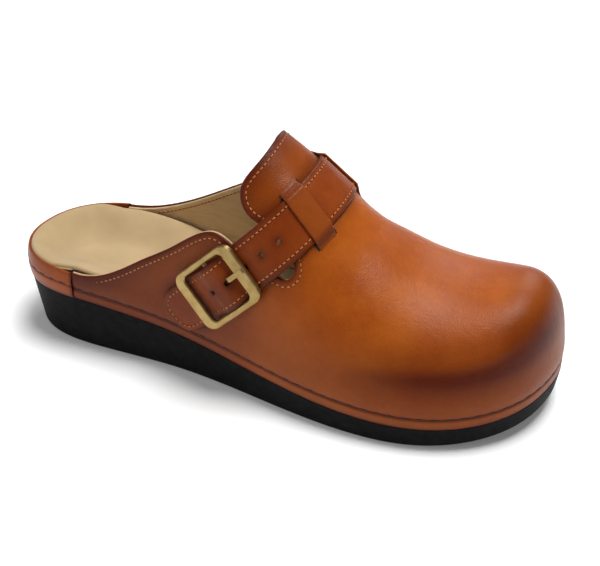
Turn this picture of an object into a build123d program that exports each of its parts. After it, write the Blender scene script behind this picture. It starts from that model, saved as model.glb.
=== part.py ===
"""A right-foot leather clog with a buckled instep strap on a black wedge sole.

Millimetres. +X points to the toe, +Y to the inner side of the foot, +Z up.
The origin is on the ground, under the middle of the clog's bounding box.
"""
from build123d import *
import math
import os

import numpy as np

# Driving dimensions of the sole, seen from above: its top edge, heel first, inner side first.
OUTLINE = [
    (-128.4, 4), (-115, 25.7), (-89, 36.3), (-44, 34), (1, 34), (46, 45), (81, 47.9), (109, 39.2),
    (127, 20.7), (127.4, -1.5), (117, -24), (89.5, -43), (51, -48), (6, -41.4), (-43.8, -32.7),
    (-89, -31), (-118.5, -22.7),
]
SOLE_TOP = [(-136, 28), (-59, 26.5), (1, 17.2), (61, 12), (136, 19.4)]  # that edge in side view, x and z
TOE_SPRING, HEEL_SPRING = 9, 3
FLAT_FROM, FLAT_TO = -86, 56  # the part of the sole that touches the ground
WALL_DRAFT = math.tan(math.radians(9))
SOLE_EDGE_ROUND = 2.5
GROOVE_DEPTH, GROOVE_WIDTH, GROOVE_PITCH = 1.4, 3, 9.5
GROOVED = [(-108, -62), (22, 98)]  # heel and ball of the foot, in x

# Thicknesses, outside inwards, and the gap left between plies.
LEATHER, PUFF, LINING, PLY_GAP = 1.6, 0.7, 1.3, 0.1
COVER, BOARD = 1.2, 1.6
PUFF_FROM = 84
RAND_END = -95  # where the upper starts and the heel rand stops
RIM_HEIGHT = [(-136, 15), (-60, 14), (1, 11), (61, 8), (136, 9)]  # footbed rim above the sole's top edge
CUP_DEPTH = [(-136, 9), (-95, 9), (-40, 6.5), (10, 5), (70, 4), (136, 5)]  # middle below the rim
CUP_SLOPE_WIDTH = 22

# The skin of the upper: its ridge in side view, how far inwards it runs, and how square it is.
RIDGE = [
    (-110, 134), (-60, 134), (-30, 129), (0.9, 114.2), (15.9, 101.4), (30.9, 87.3), (40.9, 79.1),
    (50.9, 73.6), (62.9, 67.4), (75.9, 63.5), (91, 62.5), (101, 63.4), (109, 64.4),
]
RIDGE_Y = [(-110, 4), (0, 4), (41, 5.6), (81, 8.4), (111, 9.6), (128, 10)]
SQUARENESS = [(-110, 2.2), (0, 2.05), (41, 2), (81, 2.23), (111, 2.5), (128, 2.7)]
TOE_ROUND_FROM, TOE_ROUND_POWER = 105.4, 3
STATIONS = [
    -92, -76, -60, -44, -30, -20, -12, -5, 2, 9, 16, 23, 30, 37, 44, 52, 62, 74, 86, 96, 104, 110, 115, 119,
]
TIP_STATIONS = [5.2, 2.8, 1.3, 0.4]  # distances behind the toe's tip
ARCH_STEPS = 14

# The top line, x and z in side view: outer side of the foot, then inner side.
WING_OUTER = [
    (-83, 44.3), (-74, 48.3), (-58.5, 58.7), (-43.5, 68.8), (-33.8, 76.3), (-22.8, 80.9), (-15.4, 78.2),
]
WING_INNER = [(-83, 43.6), (-74, 46.5), (-52, 58.4), (-33.8, 70.5), (-22.8, 76), (-15.4, 76.5)]
WING_START = (-96, 43)
NOTCH_CENTRE, NOTCH_RADIUS = (11.8, 71.8), 4.6
NOTCH_REAR, NOTCH_FRONT = (8.6, 68.6), (15, 75)
TONGUE = [(-2.7, 89.6), (-8.2, 92.6), (-11.7, 97.5), (-12.5, 102), (-10.3, 107.3), (-5.4, 114), (-3, 122)]

# The strap runs at 45 degrees in side view: "along" points up and forwards, "across" up and back.
HALF_ROOT = math.sqrt(0.5)
STRAP_ACROSS, STRAP_WIDTH = 54.2, 21.6
STRAP_PLY, STRAP_BACK_PLY = 1.1, 0.8
STRAP_CENTRE = (4, 16)  # y and along of the point that the strap is wound round
TAIL_END, INNER_END = -5.5, 12
TAIL_ROUND = 9
STRAP_LIFT = [
    (-20, 0.3), (17, 0.4), (19, 1.9), (24.5, 2.8), (27, 4.6), (34.4, 4.6), (41.2, 0.7), (45, 0.4), (60, 0.3),
]  # underside above the skin, by "along" on the outer side
BRIDGE_LOW, BRIDGE_HIGH = 73.9, 79.2  # the slits beside each bridge, by "along"
BRIDGE_FROM, BRIDGE_TO = 39, 68  # ends of the slits, by "across"
BRIDGE_LIFT, BRIDGE_LAND = 2.6, 3

# The buckle, in its own frame: x along the strap, y across it, z off the leather.
BUCKLE_ALONG = 29.2
BUCKLE_LENGTH, BUCKLE_WIDTH, BUCKLE_CURVE = 36, 30, 160
BUCKLE_ACROSS = STRAP_ACROSS - 0.5
END_BAR, SIDE_BAR, FRAME_THICKNESS, FRAME_LIFT = 5.6, 2.8, 2.0, 4.9
CENTRE_BAR_RADIUS, CENTRE_BAR_LIFT, PIVOT_GAP = 1.0, 2.15, 0.05
LOOP_RADIUS, CHAPE_WIDTH, CHAPE_LENGTH, CHAPE_THICKNESS = 1.95, 17, 8, 0.9
PRONG_WIDTH, PRONG_THICKNESS = 2.2, 1.4
PRONG_PATH = [(1.5, 3.3), (6.2, 3.3), (9.4, 6.5), (17.3, 5.85)]
PRONG_HOLE = (7.0, 4.8, 3.2)  # x, length and width
HOLE_STEPS, HOLE_PITCH, HOLE_RADIUS = (-1, 1, 2, 3), 9.6, 1.5

TALL = 200


def between(table, x):
    """A height or width read from a list of (x, value), straight between its entries."""
    return float(np.interp(x, [p[0] for p in table], [p[1] for p in table]))


def smooth(curve_points):
    """A list of 400 points (x, z) along the smooth line through the points."""
    curve = Spline(*curve_points)
    return [((curve @ t).X, (curve @ t).Y) for t in np.linspace(0, 1, 400)]


SOLE_TOP_LINE, RIDGE_LINE = smooth(SOLE_TOP), smooth(RIDGE)
outline_curve = Spline(*OUTLINE, periodic=True)


def outline_points(inset, count=400):
    """Points round the sole's outline, moved inwards by inset, a number or a function of x."""
    points = []
    for t in np.linspace(0, 1, count, endpoint=False):
        p, tangent = outline_curve @ t, (outline_curve % t).normalized()
        p = p + Vector(tangent.Y, -tangent.X) * (inset(p.X) if callable(inset) else inset)
        points.append((p.X, p.Y))
    return points


OUTLINE_RING = np.array(outline_points(0))


def sides(inset):
    """The outline's outer side and inner side as two arrays of (x, y), heel to toe."""
    points = np.array(outline_points(inset))
    first = np.roll(points, -points[:, 0].argmin(), 0)
    toe = first[:, 0].argmax()
    return np.vstack([first[toe:], first[:1]])[::-1], first[: toe + 1]


def section(x, inset, outer, inner):
    """What shapes the skin at station x: foot and top in z, low, middle and high in y, squareness."""
    low, high = np.interp(x, *outer.T), np.interp(x, *inner.T)
    slope = (between(RIDGE_LINE, x + 1) - between(RIDGE_LINE, x - 1)) / 2 if x < 108 else 0
    height = between(RIDGE_LINE, min(x, RIDGE[-1][0])) - inset * math.hypot(1, slope)
    tip = outer[-1][0]
    share = min(1, max(0, (x - TOE_ROUND_FROM) / (tip - TOE_ROUND_FROM)))
    foot = between(SOLE_TOP_LINE, x)
    top = foot + (height - foot) * (1 - share**TOE_ROUND_POWER) ** (1 / TOE_ROUND_POWER)
    middle = min(max(between(RIDGE_Y, x), low + 1), high - 1)
    return foot, top, low, middle, high, between(SQUARENESS, x)


SKIN_SIDES = sides(0)


def outside_skin(x, y, z):
    """Negative inside the skin, positive outside it."""
    foot, top, low, middle, high, n = section(x, 0, *SKIN_SIDES)
    wide = (middle - y) / (middle - low) if y < middle else (y - middle) / (high - middle)
    return wide**n + (max(0, z - foot) / max(top - foot, 0.001)) ** n - 1


def last(inset, start, foot_depth):
    """The solid that fills the skin, shrunk by inset, from x = start on and foot_depth into the sole."""
    outer, inner = sides(inset)
    with BuildPart() as body:
        for x in [start, *STATIONS, *(outer[-1][0] - d for d in TIP_STATIONS)]:
            foot, top, low, middle, high, n = section(x, inset, outer, inner)
            arch = []
            for a in np.linspace(0, math.pi, 2 * ARCH_STEPS + 1):
                reach = abs(math.cos(a)) ** (2 / n)
                y = middle - (middle - low) * reach if a < math.pi / 2 else middle + (high - middle) * reach
                arch.append((y, foot + (top - foot) * math.sin(a) ** (2 / n)))
            with BuildSketch(Plane.YZ.offset(x)):
                with BuildLine():
                    Spline(*arch, tangents=[(0, 1), (0, -1)])
                    Polyline(arch[-1], (high, foot - foot_depth), (low, foot - foot_depth), arch[0])
                make_face()
        loft(ruled=True)
    return body.part


def side_block(line, corners):
    """A smooth line in side view, closed by straight corners, extruded right across."""
    with BuildPart() as block:
        with BuildSketch(Plane.XZ.offset(TALL)):
            with BuildLine():
                top = Spline(*line)
                Polyline(top @ 1, *corners, top @ 0)
            make_face()
        extrude(amount=-2 * TALL)
    return block.part


def above(line):
    """Everything above a line drawn in side view."""
    return side_block(line, [(line[-1][0], TALL), (line[0][0], TALL)])


def below(line):
    """Everything below a line drawn in side view."""
    return side_block(line, [(line[-1][0], -TALL), (line[0][0], -TALL)])


def over_sole(lift, table=((0, 0),)):
    """The sole's top edge in side view, raised by lift and by the heights in table."""
    return [(x, z + lift + between(table, x)) for x, z in SOLE_TOP_LINE[::40] + [SOLE_TOP_LINE[-1]]]


def prism(inset, z_from=0, z_to=TALL):
    """An upright block on the outline, shrunk by inset."""
    with BuildPart() as block:
        with BuildSketch(Plane.XY.offset(z_from)):
            with BuildLine():
                Spline(*outline_points(inset, 56), periodic=True)
            make_face()
        extrude(amount=z_to - z_from)
    return block.part


def combine(first, *steps):
    """first, then each (mode, shape) of steps in turn."""
    with BuildPart() as result:
        add(first)
        for mode, shape in steps:
            add(shape, mode=mode)
    return result.part


def save(name, part):
    part.label = name
    export_step(part, f"parts/{name}.step")
    print(name, part.is_valid, len(part.solids()), round(part.volume))


os.makedirs("parts", exist_ok=True)
CUT, KEEP = Mode.SUBTRACT, Mode.INTERSECT

# ---- sole ----
with BuildPart() as outsole:
    for z in (-2, 40):
        wall = lambda x: (between(SOLE_TOP_LINE, x) - z) * WALL_DRAFT
        with BuildSketch(Plane.XY.offset(z)):
            with BuildLine():
                Spline(*outline_points(wall, 56), periodic=True)
            make_face()
    loft(ruled=True)
    add(above(SOLE_TOP), mode=CUT)
    with BuildSketch(Plane.XZ.offset(TALL)):
        with BuildLine():
            ground = Line((FLAT_FROM, 0), (FLAT_TO, 0))
            toe = Spline(ground @ 1, (136, TOE_SPRING), tangents=[(1, 0), (1, 0.2)])
            heel = Spline((-136, HEEL_SPRING), ground @ 0, tangents=[(1, -0.11), (1, 0)])
            Polyline(toe @ 1, (136, -30), (-136, -30), heel @ 0)
        make_face()
    extrude(amount=-2 * TALL, mode=CUT)
    curved = outsole.edges().filter_by(GeomType.LINE, reverse=True)
    fillet(curved.filter_by(lambda e: e.center().Z < 5), SOLE_EDGE_ROUND)
    grooves = [x for a, b in GROOVED for x in np.arange(a, b, GROOVE_PITCH)]
    with Locations(*((x, 4, GROOVE_DEPTH / 2) for x in grooves)):
        Box(GROOVE_WIDTH, 44, GROOVE_DEPTH, mode=CUT)
save("outsole", outsole.part)

# ---- footbed ----
PLIES = LEATHER + PUFF + LINING + 3 * PLY_GAP + 0.8  # and the lean of the upper's wall


def footbed_inset(x):
    """Room left for the rand at the heel and for the upper and its lining in front of it."""
    return between([(RAND_END - 12, LEATHER + 0.3), (RAND_END - 1, PLIES)], x)


def dish(drop):
    """The footbed's hollow top, lowered by drop."""
    rows = []
    for x in np.linspace(-134, 134, 41):
        row = []
        for y in np.linspace(-54, 54, 25):
            depth = np.hypot(*(OUTLINE_RING - (x, y)).T).min() - footbed_inset(x)
            inside = outline_side(x, y)
            fall = min(1, max(0, depth / CUP_SLOPE_WIDTH)) if inside else 0
            rim = between(SOLE_TOP_LINE, x) + between(RIM_HEIGHT, x)
            row.append(Vector(x, y, rim - between(CUP_DEPTH, x) * fall * fall * (3 - 2 * fall) - drop))
        rows.append(row)
    return Face.make_surface_from_array_of_points(rows)


def outline_side(x, y):
    """True inside the sole's outline."""
    outer, inner = SKIN_SIDES
    return outer[0][0] < x < outer[-1][0] and np.interp(x, *outer.T) < y < np.interp(x, *inner.T)


def dished(drop, thickness):
    """A slab under the dish, as thick as thickness."""
    return Solid.extrude(dish(drop), Vector(0, 0, -thickness))


footbed_block = combine(prism(footbed_inset, 5, 60), (KEEP, above(over_sole(BOARD + 2 * PLY_GAP))))
save("footbed_core", combine(footbed_block, (KEEP, dished(COVER + PLY_GAP, 60))))
save("footbed_cover", combine(footbed_block, (KEEP, dished(0, COVER))))
board = combine(
    prism(footbed_inset, 5, 60), (KEEP, above(over_sole(PLY_GAP))), (KEEP, below(over_sole(BOARD + PLY_GAP))),
)
save("insole_board", board)

# ---- heel rand ----
behind_seam = Pos(RAND_END - TALL / 2 - 0.2, 0, 50) * Box(TALL, TALL, 100)
rand = combine(
    prism(0, 5, 60), (CUT, prism(LEATHER, 0, 70)), (KEEP, above(over_sole(PLY_GAP))),
    (KEEP, below(over_sole(0.5, RIM_HEIGHT))), (KEEP, behind_seam),
)
save("heel_rand", rand)

# ---- upper ----
def opening(wing, y_from, y_to):
    """What the top line leaves open on one side: over the wing, in front of it and behind the tongue."""
    with BuildPart() as gap:
        with BuildSketch(Plane.XZ.offset(-y_from)):
            with BuildLine():
                top_line = Spline(WING_START, *wing, NOTCH_REAR)
                tongue = Spline(NOTCH_FRONT, *TONGUE)
                Line(NOTCH_REAR, NOTCH_FRONT)
                Polyline(tongue @ 1, (TONGUE[-1][0], TALL), (-TALL, TALL), (-TALL, WING_START[1]), WING_START)
            make_face()
        extrude(amount=y_from - y_to)
        with Locations(Plane.XZ.offset(-y_from)):
            with Locations(NOTCH_CENTRE):
                Cylinder(NOTCH_RADIUS, y_to - y_from, align=(Align.CENTER, Align.CENTER, Align.MAX))
    return gap.part


crest = RIDGE_Y[1][1]
behind = Pos(RAND_END - TALL / 2, 0, 50) * Box(TALL, TALL, 400)
trim = [(CUT, behind), (CUT, opening(WING_OUTER, -90, crest)), (CUT, opening(WING_INNER, crest, 90))]


def ply(outer_inset, thickness, *steps):
    """One layer of the upper, trimmed to the sole and by steps."""
    return combine(
        last(outer_inset, -101, 4), (CUT, last(outer_inset + thickness, -104, 7)),
        (KEEP, above(over_sole(PLY_GAP))), *steps,
    )


def strap_point(y, along, across):
    """A point of the strap's own axes in x, y, z."""
    return Vector((along - across) * HALF_ROOT, y, (along + across) * HALF_ROOT)


def girth(across):
    """The skin in the strap's plane at across: arrays of y and along, outer side first, and their normals."""
    points = []
    for turn in np.radians(np.arange(-60, 246, 3)):
        dy, ds = -math.cos(turn), math.sin(turn)
        near, far = 0, 140
        for _ in range(30):
            mid = (near + far) / 2
            p = strap_point(STRAP_CENTRE[0] + dy * mid, STRAP_CENTRE[1] + ds * mid, across)
            near, far = (mid, far) if outside_skin(*p) < 0 else (near, mid)
        points.append((STRAP_CENTRE[0] + dy * near, STRAP_CENTRE[1] + ds * near))
    points = np.array(points)
    tangent = np.gradient(points, axis=0)
    tangent /= np.hypot(*tangent.T)[:, None]
    return points, np.column_stack([-tangent[:, 1], tangent[:, 0]])


def band(start, end, lift, thickness, across_from, across_to, slices=5):
    """A strip that follows the skin over the instep at a lift above it.

    start and end are positions by "along", as (position, side), side -1 outer and 1 inner.
    lift is a table read by "along" on the outer side, and its last value elsewhere.
    """
    with BuildPart() as strip:
        for across in np.linspace(across_from, across_to, slices):
            points, normals = girth(across)
            top = points[:, 1].argmax()
            order = np.where(np.arange(len(points)) < top, points[:, 1], 2 * points[top, 1] - points[:, 1])
            limits = [p if side < 0 else 2 * points[top, 1] - p for p, side in (start, end)]
            at = np.unique([*limits, *order[(order > limits[0] + 0.8) & (order < limits[1] - 0.8)]])
            place = np.column_stack([np.interp(at, order, points[:, i]) for i in (0, 1)])
            off = np.column_stack([np.interp(at, order, normals[:, i]) for i in (0, 1)])
            raise_by = np.array([between(lift, s) for s in at])[:, None]
            inner_line, outer_line = place + off * raise_by, place + off * (raise_by + thickness)
            frame = Plane(strap_point(0, 0, across), x_dir=(0, 1, 0), z_dir=(HALF_ROOT, 0, -HALF_ROOT))
            with BuildSketch(frame):
                with BuildLine():
                    low = Spline(*(tuple(p) for p in inner_line))
                    high = Spline(*(tuple(p) for p in outer_line))
                    Line(low @ 0, high @ 0)
                    Line(low @ 1, high @ 1)
                make_face()
        loft(ruled=True)
    return strip.part


def side_region(along_from, along_to, across_from, across_to, y_from, y_to):
    """A block between limits of "along" and "across"."""
    middle = strap_point((y_from + y_to) / 2, (along_from + along_to) / 2, (across_from + across_to) / 2)
    place = Plane(middle, x_dir=(HALF_ROOT, 0, HALF_ROOT), z_dir=(-HALF_ROOT, 0, HALF_ROOT))
    return place * Box(along_to - along_from, y_to - y_from, across_to - across_from)


slits, bridges = [], []
for side in (-1, 1):
    y_near, y_far = sorted((crest + side * 5, crest + side * 60))
    slits.append(side_region(BRIDGE_LOW - 0.6, BRIDGE_HIGH + 0.6, BRIDGE_FROM, BRIDGE_TO, y_near, y_far))
    ends = [(BRIDGE_LOW, side), (BRIDGE_HIGH, side)][::-side]
    land_low, land_high = BRIDGE_FROM - BRIDGE_LAND, BRIDGE_TO + BRIDGE_LAND
    bridges.append(band(*ends, [(0, BRIDGE_LIFT)], LEATHER, land_low, land_high, 7))
    for a, b in ((land_low, BRIDGE_FROM), (BRIDGE_TO, land_high)):
        bridges.append(band(*ends, [(0, -0.4)], BRIDGE_LIFT + LEATHER + 0.2, a, b, 2))
slit_and_bridge = [*((CUT, s) for s in slits), *((Mode.ADD, b) for b in bridges)]
save("vamp_upper", combine(ply(0, LEATHER, *trim), *slit_and_bridge))
save("vamp_lining", ply(LEATHER + PUFF + 2 * PLY_GAP, LINING, *trim))
in_front = Pos(PUFF_FROM + TALL / 2, 0, 50) * Box(TALL, TALL, TALL)
save("toe_puff", ply(LEATHER + PLY_GAP, PUFF, (KEEP, in_front)))

# ---- strap ----
STRAP_LOW, STRAP_HIGH = STRAP_ACROSS - STRAP_WIDTH / 2, STRAP_ACROSS + STRAP_WIDTH / 2
STRAP_TOP = [(s, h + STRAP_BACK_PLY + PLY_GAP) for s, h in STRAP_LIFT]


def outer_skin(along, across):
    """The point of the skin's outer side at a place in the strap's own axes."""
    x, _, z = strap_point(0, along, across)
    foot, top, low, middle, _, n = section(x, 0, *SKIN_SIDES)
    reach = (1 - ((z - foot) / (top - foot)) ** n) ** (1 / n)
    return Vector(x, middle - reach * (middle - low), z)


# The buckle's seat: x along the strap, y across it, z outwards.
seat_middle = outer_skin(BUCKLE_ALONG, BUCKLE_ACROSS)
forward = (outer_skin(BUCKLE_ALONG + 8, BUCKLE_ACROSS) - seat_middle).normalized()
outward = forward.cross(outer_skin(BUCKLE_ALONG, BUCKLE_ACROSS + 8) - seat_middle).normalized()
seat = Plane(seat_middle, x_dir=forward, z_dir=outward)


def corner_cut(sign):
    """What rounds one corner of the strap's tail."""
    arc_across = STRAP_ACROSS + sign * (STRAP_WIDTH / 2 - TAIL_ROUND)
    across_from, across_to = sorted((arc_across, STRAP_ACROSS + sign * (STRAP_WIDTH / 2 + 5)))
    corner = side_region(TAIL_END - 5, TAIL_END + TAIL_ROUND, across_from, across_to, -70, 0)
    centre = strap_point(0, TAIL_END + TAIL_ROUND, arc_across)
    return combine(corner, (CUT, Plane(centre, z_dir=(0, 1, 0)) * Cylinder(TAIL_ROUND, 200)))


# The skin under the middle of the strap: places, ways out of it, and the distance run from the outer side.
girth_points, girth_normals = girth(STRAP_ACROSS)
places = np.array([tuple(strap_point(y, along, STRAP_ACROSS)) for y, along in girth_points])
ways_out = np.array([tuple(strap_point(y, along, 0)) for y, along in girth_normals])
run = np.concatenate([[0], np.cumsum(np.linalg.norm(np.diff(places, axis=0), axis=1))])
crest_index = girth_points[:, 1].argmax()
prong_at = np.interp(BUCKLE_ALONG, girth_points[:crest_index, 1], run[:crest_index]) + PRONG_HOLE[0]


def read(rows, distance):
    """A place or way out at a distance along the strap."""
    return Vector(*(float(np.interp(distance, run, column)) for column in rows.T))


def on_strap(distance):
    """Plane on the skin under the middle of the strap, with x along the strap."""
    tangent = (read(places, distance + 0.2) - read(places, distance - 0.2)).normalized()
    return Plane(read(places, distance), x_dir=tangent, z_dir=read(ways_out, distance))


with BuildPart() as punch:
    with BuildSketch(seat):
        with Locations((PRONG_HOLE[0], 0)):
            SlotOverall(PRONG_HOLE[1], PRONG_HOLE[2])
    extrude(amount=12)
    for step in HOLE_STEPS:
        with BuildSketch(on_strap(prong_at + step * HOLE_PITCH)):
            Circle(HOLE_RADIUS)
        extrude(amount=12)
holes_and_corners = [(CUT, punch.part), (CUT, corner_cut(1)), (CUT, corner_cut(-1))]
ends = (TAIL_END, -1), (INNER_END, 1)
back = band(*ends, STRAP_LIFT, STRAP_BACK_PLY, STRAP_LOW, STRAP_HIGH)
save("strap_lining", combine(back, *holes_and_corners))
front = band(*ends, STRAP_TOP, STRAP_PLY, STRAP_LOW, STRAP_HIGH)
save("instep_strap", combine(front, *holes_and_corners))

# ---- buckle ----
def tube(axis_z, inside, outside, width):
    """A ring or cylinder across the strap, in the buckle's frame."""
    with BuildPart(Plane.XZ) as ring:
        with Locations((0, axis_z)):
            Cylinder(outside, width)
            if inside:
                Cylinder(inside, width, mode=Mode.SUBTRACT)
    return ring.part


with BuildPart() as frame:
    with BuildSketch(Plane.XY):
        RectangleRounded(BUCKLE_LENGTH, BUCKLE_WIDTH, 5.5)
        RectangleRounded(BUCKLE_LENGTH - 2 * END_BAR, BUCKLE_WIDTH - 2 * SIDE_BAR, 2.5, mode=CUT)
    extrude(amount=20)
    low = BUCKLE_CURVE + FRAME_LIFT - FRAME_THICKNESS / 2
    add(tube(-BUCKLE_CURVE, low, low + FRAME_THICKNESS, 60), mode=KEEP)
    chamfer(frame.edges().filter_by(lambda e: e.center().Z > 4), 0.5)
    post = FRAME_LIFT - CENTRE_BAR_LIFT + CENTRE_BAR_RADIUS
    for sign in (-1, 1):
        with Locations((0, sign * (BUCKLE_WIDTH - SIDE_BAR) / 2, CENTRE_BAR_LIFT - CENTRE_BAR_RADIUS)):
            Box(3, SIDE_BAR - 0.4, post, align=(Align.CENTER, Align.CENTER, Align.MIN))
    add(tube(CENTRE_BAR_LIFT, 0, CENTRE_BAR_RADIUS, BUCKLE_WIDTH - SIDE_BAR))
save("buckle_frame", seat * frame.part)

with BuildPart() as prong:
    with BuildSketch(Plane.XZ.offset(-PRONG_WIDTH / 2)):
        for (x0, z0), (x1, z1) in zip(PRONG_PATH, PRONG_PATH[1:]):
            turn = math.degrees(math.atan2(z1 - z0, x1 - x0))
            with Locations(Location(((x0 + x1) / 2, (z0 + z1) / 2, 0), (0, 0, turn))):
                SlotCenterToCenter(math.hypot(x1 - x0, z1 - z0), PRONG_THICKNESS)
    extrude(amount=PRONG_WIDTH)
    add(tube(CENTRE_BAR_LIFT, 0, LOOP_RADIUS, PRONG_WIDTH))
    add(tube(CENTRE_BAR_LIFT, 0, CENTRE_BAR_RADIUS + PIVOT_GAP, 4), mode=CUT)
save("buckle_prong", seat * prong.part)

with BuildPart() as chape:
    add(tube(CENTRE_BAR_LIFT, CENTRE_BAR_RADIUS + PIVOT_GAP, LOOP_RADIUS, CHAPE_WIDTH))
    with Locations((0, 0, CENTRE_BAR_LIFT - LOOP_RADIUS)):
        Box(CHAPE_LENGTH, CHAPE_WIDTH, CHAPE_THICKNESS, align=(Align.MAX, Align.CENTER, Align.MIN))
    with Locations((0, 0, CENTRE_BAR_LIFT)):
        Box(2 * LOOP_RADIUS + 3, PRONG_WIDTH + 0.8, 2 * LOOP_RADIUS + 1, mode=CUT)
save("buckle_chape", seat * chape.part)
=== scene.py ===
"""Visual model of the buckled leather clog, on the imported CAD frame. Metres, +X toe, +Y inner side, +Z up."""
import math

import bpy
import numpy as np
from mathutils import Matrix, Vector


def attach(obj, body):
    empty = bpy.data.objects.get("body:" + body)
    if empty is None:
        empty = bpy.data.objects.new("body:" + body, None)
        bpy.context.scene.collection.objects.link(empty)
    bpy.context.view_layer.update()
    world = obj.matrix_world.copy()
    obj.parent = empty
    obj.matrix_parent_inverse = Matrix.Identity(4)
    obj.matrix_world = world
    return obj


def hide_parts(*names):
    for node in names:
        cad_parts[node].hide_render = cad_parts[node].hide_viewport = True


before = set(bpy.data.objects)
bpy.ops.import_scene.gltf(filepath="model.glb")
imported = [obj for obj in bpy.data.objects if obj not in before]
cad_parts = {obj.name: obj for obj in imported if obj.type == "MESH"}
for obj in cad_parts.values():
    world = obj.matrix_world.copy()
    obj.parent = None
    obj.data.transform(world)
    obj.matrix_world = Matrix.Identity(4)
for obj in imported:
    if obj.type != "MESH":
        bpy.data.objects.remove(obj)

MM = 0.001
rng = np.random.default_rng(7)
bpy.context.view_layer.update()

# Driving dimensions, in millimetres and the same as the CAD's.
OUTLINE = [
    (-128.4, 4), (-115, 25.7), (-89, 36.3), (-44, 34), (1, 34), (46, 45), (81, 47.9), (109, 39.2),
    (127, 20.7), (127.4, -1.5), (117, -24), (89.5, -43), (51, -48), (6, -41.4), (-43.8, -32.7),
    (-89, -31), (-118.5, -22.7),
]
SOLE_TOP = [(-136, 28), (-59, 26.5), (1, 17.2), (61, 12), (136, 19.4)]
RIDGE = [
    (-110, 134), (-60, 134), (-30, 129), (0.9, 114.2), (15.9, 101.4), (30.9, 87.3), (40.9, 79.1),
    (50.9, 73.6), (62.9, 67.4), (75.9, 63.5), (91, 62.5), (101, 63.4), (109, 64.4),
]
RIDGE_Y = [(-110, 4), (0, 4), (41, 5.6), (81, 8.4), (111, 9.6), (128, 10)]
SQUARENESS = [(-110, 2.2), (0, 2.05), (41, 2), (81, 2.23), (111, 2.5), (128, 2.7)]
TOE_ROUND_FROM, TOE_ROUND_POWER = 105.4, 3
RIM_HEIGHT = [(-136, 15), (-60, 14), (1, 11), (61, 8), (136, 9)]
CUP_DEPTH = [(-136, 9), (-95, 9), (-40, 6.5), (10, 5), (70, 4), (136, 5)]
CUP_SLOPE_WIDTH = 22
RAND_END = -95
LEATHER, LINING = 1.6, 1.3
WING_OUTER = [
    (-83, 44.3), (-74, 48.3), (-58.5, 58.7), (-43.5, 68.8), (-33.8, 76.3), (-22.8, 80.9), (-15.4, 78.2),
]
WING_INNER = [(-83, 43.6), (-74, 46.5), (-52, 58.4), (-33.8, 70.5), (-22.8, 76), (-15.4, 76.5)]
WING_START = (-96, 43)
NOTCH_CENTRE, NOTCH_RADIUS = (11.8, 71.8), 4.6
NOTCH_REAR, NOTCH_FRONT = (8.6, 68.6), (15, 75)
TONGUE = [(-2.7, 89.6), (-8.2, 92.6), (-11.7, 97.5), (-12.5, 102), (-10.3, 107.3), (-5.4, 114), (-3, 122)]
HALF_ROOT = math.sqrt(0.5)
STRAP_ACROSS, STRAP_WIDTH, STRAP_THICKNESS = 54.2, 21.6, 2.0
STRAP_CENTRE = (4, 16)
TAIL_END, INNER_END, TAIL_ROUND = -5.5, 12, 9
STRAP_LIFT = [
    (-20, 0.3), (17, 0.4), (19, 1.9), (24.5, 2.8), (27, 4.6), (34.4, 4.6), (41.2, 0.7), (45, 0.4), (60, 0.3),
]
BRIDGE_LOW, BRIDGE_HIGH = 73.9, 79.2
BRIDGE_FROM, BRIDGE_TO = 39, 68
BRIDGE_LIFT = 2.6
BUCKLE_ALONG, PRONG_HOLE, HOLE_STEPS, HOLE_PITCH, HOLE_RADIUS = 29.2, 7.0, (-1, 1, 2, 3), 9.6, 1.5

# Detail that only the visual model has, in millimetres.
SEAM_HEIGHT = 5.5  # of the sole seam over the sole's edge
TOP_LINE_IN = 2.4  # from the top line to its stitches
PLY_GAP = 0.06  # between the vamp and its lining
FINE_STITCH = {"pitch": 2.5, "length": 1.9, "radius": 0.33, "proud": 0.62}
COARSE_STITCH = {"pitch": 6.4, "length": 4.8, "radius": 0.42, "proud": 0.6}
SWELL = 1.1  # how far the strap lifts the upper at the ends of the bridges
BRIDGE_LAND, BRIDGE_PLY = 1.5, 1.2
SLIT_GAPS = ((BRIDGE_LOW, -0.7), (BRIDGE_HIGH, 0.45))  # each slit's edge at the bridge, and its width outwards
STRAP_STITCH_IN = 2.2
PRONG_SLOT_HALF, PRONG_SLOT_RADIUS = 0.8, 1.6
RIM_STEPS, RIM_BULGE = 3, 0.35  # how a leather's cut edge is rounded
PLIES = 4.7  # from the outline to the footbed, where the vamp and its lining are between them
FOOTBED_INSET = [(RAND_END - 12, 1.0), (RAND_END - 1, PLIES)]
FOOTBED_CORE_INSET = [(RAND_END - 12, LEATHER + 0.3), (RAND_END - 1, PLIES)]
SUEDE_ROLL, SUEDE_THICKNESS = 1.6, 1.1
RAND_BELOW_RIM, RAND_OVER_SOLE = 1.1, 0.12


# ---- camera, light and floor ----
def set_camera():
    """A long lens, looking down on the outer side from ahead of the buckle."""
    target, distance = Vector((0.00065, 0.00195, 0.045)), 0.716
    turn, rise = math.radians(20.3), math.radians(34.6)
    back = Vector((math.sin(turn) * math.cos(rise), -math.cos(turn) * math.cos(rise), math.sin(rise)))
    data = bpy.data.cameras.new("camera")
    data.sensor_width, data.lens = 36, 92.9
    data.shift_x, data.shift_y = 0.0193, -0.0147
    camera = bpy.data.objects.new("camera", data)
    camera.location = target + back * distance
    camera.rotation_mode = "QUATERNION"
    camera.rotation_quaternion = back.to_track_quat("Z", "Y")
    bpy.context.scene.collection.objects.link(camera)
    bpy.context.scene.camera = camera


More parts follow.
